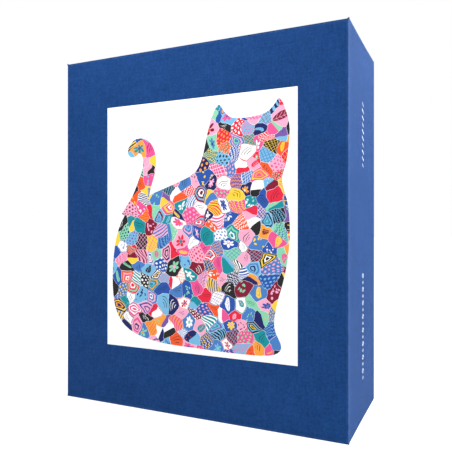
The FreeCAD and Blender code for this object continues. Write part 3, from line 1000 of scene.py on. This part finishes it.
def box_round(names):
    """The low and high corners of the box round several nodes."""
    lows, highs = zip(*(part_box(name) for name in names))
    return Vector(map(min, zip(*lows))), Vector(map(max, zip(*highs)))


def room_box(name, low, high):
    """A plain box for the film to press against while it takes shape. It isn't kept."""
    corners = [Vector(corner) * SIM_SCALE for corner in product(*zip(low, high))]
    sides = [(0, 1, 3, 2), (4, 6, 7, 5), (0, 4, 5, 1), (2, 3, 7, 6), (0, 2, 6, 4), (1, 5, 7, 3)]
    return mesh_object(name, corners, sides, MATERIALS["clear_film"])


def pouch_ring(half_x, half_y, radius, count):
    """Points evenly spaced round a rectangle with round corners, from its +X side."""
    radius = min(radius, half_y, half_x)
    straight_x, straight_y = half_x - radius, half_y - radius
    quarter = pi / 2 * radius
    whole = 4 * (straight_x + straight_y + quarter)
    points = []
    for index in range(count):
        along = whole * index / count
        flip_y = 1 if along <= whole / 2 else -1
        along = min(along, whole - along)
        flip_x = 1 if along <= whole / 4 else -1
        along = min(along, whole / 2 - along)
        if along < straight_y:
            x, y = half_x, along
        elif along < straight_y + quarter:
            angle = (along - straight_y) / radius
            x, y = straight_x + radius * cos(angle), straight_y + radius * sin(angle)
        else:
            x, y = straight_x - (along - straight_y - quarter), half_y
        points.append((x * flip_x, y * flip_y))
    return points


def ease(share):
    share = min(max(share, 0.0), 1.0)
    return share * share * (3 - 2 * share)


def settle(piece, held, obstacles):
    """Lets the film swell between its contents and the tray, and keeps the shape it takes."""
    for obstacle in obstacles:
        obstacle.modifiers.new("solid", "COLLISION")
        obstacle.collision.thickness_outer = MM
        obstacle.collision.cloth_friction = 2
    group = piece.vertex_groups.new(name="held")
    group.add(held, 1.0, "REPLACE")
    cloth = piece.modifiers.new("film", "CLOTH")
    settings = cloth.settings
    settings.quality = 6
    settings.mass = 0.1
    settings.tension_stiffness = settings.compression_stiffness = 20
    settings.shear_stiffness = 8
    settings.bending_stiffness = 0.3
    settings.vertex_group_mass = "held"
    settings.shrink_min = -0.09
    settings.use_pressure = True
    settings.uniform_pressure_force = 1.5
    settings.effector_weights.gravity = 0
    cloth.collision_settings.distance_min = MM
    cloth.point_cache.frame_start, cloth.point_cache.frame_end = 1, SIM_FRAMES
    for number in range(1, SIM_FRAMES + 1):
        scene.frame_set(number)
    shaped = piece.evaluated_get(bpy.context.evaluated_depsgraph_get())
    places = [vertex.co.copy() for vertex in shaped.data.vertices]
    piece.modifiers.clear()
    scene.frame_set(1)
    for vertex, place in zip(piece.data.vertices, places):
        vertex.co = place


def pouch_shell(low, high, contents_high):
    """The film before it swells, at the scale of the simulation: a lofted shell, sealed along
    its bottom and its top. With it come the points of the flat end, which stay where they are."""
    middle_y = (low.y + high.y) / 2
    half_x, half_y = (high.x - low.x) / 2 - 1.2 * MM, (high.y - low.y) / 2 - 0.6 * MM
    flat_x, flat_y = half_x - 3 * MM, 0.35 * MM
    narrowing, seal, crease, pinking = 5 * MM, 9 * MM, 1.6 * MM, 0.5 * MM
    shoulder = contents_high.z + narrowing
    count, steps = 132, 16
    heights = spread(low.z + 0.3 * MM, shoulder, 4.5 * MM)
    heights += [shoulder + (high.z - shoulder) * step / steps for step in range(1, steps + 1)]
    points, held = [], []
    for z in heights:
        # 0 at the flat ends and 1 where the pieces are.
        full = ease((z - low.z) / (4 * MM)) * (1 - ease((z - contents_high.z) / narrowing))
        wide = flat_x + (half_x - flat_x) * ease((z - low.z) / (9 * MM)) * min(1, 0.3 + full)
        deep = flat_y + (half_y - flat_y) * full ** 0.5
        if z > high.z - seal:
            deep = (0.3 if len(points) // count % 2 else 0.5) * MM
        bend = crease * sin(z * 60) * ease((z - shoulder) / (20 * MM))
        for index, (x, y) in enumerate(pouch_ring(wide, deep, 7 * MM, count)):
            wave = bend * sin(x * 45 + 0.6)
            pinked = pinking * (-1) ** index if z == heights[-1] else 0.0
            if z > shoulder + 12 * MM:
                held.append(len(points))
            points.append(Vector((x, middle_y + y + wave, z - abs(pinked) + pinked)) * SIM_SCALE)
    faces = []
    for row in range(len(heights) - 1):
        for column in range(count):
            first, after = row * count + column, row * count + (column + 1) % count
            faces.append((first, after, after + count, first + count))
    last = (len(heights) - 1) * count
    for column in range(count // 2):
        left, right = (count - column) % count, count - column - 1
        faces.append((column, left, right, column + 1))
        faces.append((last + column, last + column + 1, last + right, last + left))
    return mesh_object("clear_pouch", points, faces, MATERIALS["clear_film"]), held


def fit_in(piece, contents_low, contents_high, least, most):
    """Brings the film back to size, clear of its contents and between least and most."""
    clear = Vector((0.35 * MM,) * 3)
    inner_low, inner_high = contents_low - clear, contents_high + clear
    for vertex in piece.data.vertices:
        place = vertex.co / SIM_SCALE
        into = [(place[axis] - inner_low[axis], axis, inner_low[axis]) for axis in range(3)]
        into += [(inner_high[axis] - place[axis], axis, inner_high[axis]) for axis in range(3)]
        shallowest, axis, face = min(into)
        if shallowest > 0:
            place[axis] = face
        vertex.co = [min(max(value, floor), roof) for value, floor, roof
                     in zip(place, least, most)]


def film_bag():
    """The clear pouch that holds the pieces, swollen between them and the tray."""
    contents_low, contents_high = box_round(PIECE_NODES)
    low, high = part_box("piece_bag")
    piece, held = pouch_shell(low, high, contents_high)
    tray_low, tray_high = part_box("tray_wall_lining")
    gap = 0.4 * MM
    least = Vector((tray_low.x + gap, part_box("folded_poster")[1].y + gap, low.z - 0.1 * MM))
    most = Vector((tray_high.x - gap, high.y + 0.3 * MM, high.z + 20 * MM))
    obstacles = [room_box("contents", contents_low, contents_high),
                 room_box("room", least, most)]
    settle(piece, held, obstacles)
    for obstacle in obstacles:
        bpy.data.objects.remove(obstacle)
    fit_in(piece, contents_low, contents_high, least, most)
    smoother = piece.modifiers.new("smooth", "SUBSURF")
    smoother.levels = smoother.render_levels = 1
    fasten(piece, "bag", "clear_film", "piece_bag")


for node in PIECE_NODES:
    cut_pieces(node)
film_bag()

# The poster's printed face is a thin leaf just in front of it.
poster_low, poster_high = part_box("folded_poster")
PRINT_GAP = 0.02 * MM
PRINT_THICK = 0.04 * MM
POSTER_SCALE = 1.18
POSTER_MARGIN = 14
leaf_low = Vector((poster_low.x, poster_low.y - PRINT_GAP - PRINT_THICK, poster_low.z))
leaf_high = Vector((poster_high.x, poster_low.y - PRINT_GAP, poster_high.z))
printed_sheet("poster_picture_printed", leaf_low, leaf_high, picture, POSTER_SCALE,
              poster_low.z / MM + POSTER_MARGIN, "poster", "poster_paper")


# ---- room, light and camera

def area_light(name, place, side, power):
    """A square soft box of a given side and power, turned towards the box."""
    data = bpy.data.lights.new(name, "AREA")
    data.shape = "SQUARE"
    data.size = side
    data.energy = power
    light = linked(name, data)
    light.location = place
    facing = Vector((0, 0, 0.13)) - Vector(place)
    light.rotation_euler = facing.to_track_quat("-Z", "Y").to_euler()
    light.visible_camera = False


def studio():
    """A white room: a bright world, a pale floor and three soft lights."""
    scene.world = world = bpy.data.worlds.new("studio")
    world.use_nodes = True
    world.node_tree.nodes["Background"].inputs["Color"].default_value = (1, 1, 1, 1)

    shader = Shader("studio_floor")
    grain = shader.noise(30, 2)
    shader.set(Base_Color=shader.colour(grain, (0.36, 0.36, 0.36, 1), (0.39, 0.39, 0.39, 1)),
               Roughness=0.8, Emission_Color=(1, 1, 1, 1), Emission_Strength=0.68)
    reach = 6.0
    corners = [(x * reach, y * reach, cad_box[0][2])
               for x, y in ((-1, -1), (1, -1), (1, 1), (-1, 1))]
    mesh_object("floor", corners, [(0, 1, 2, 3)], shader.material)

    area_light("key", (0.65, 0.1, 0.75), 0.4, 16.5)
    area_light("rim", (0.5, 0.8, 0.6), 0.3, 1.7)
    area_light("front", (-0.03, -0.2, 0.44), 0.2, 1.12)


def photo_camera():
    """Level with the box's middle and turned 25 degrees round towards its spine."""
    data = bpy.data.cameras.new("camera")
    data.sensor_width = 36.0
    data.lens = 41.87
    scene.camera = camera = linked("camera", data)
    camera.location = (0.1703, -0.3544, 0.1282)
    camera.rotation_euler = (radians(90), 0, radians(24.96))


studio()
photo_camera()
scene.view_settings.view_transform = "Standard"
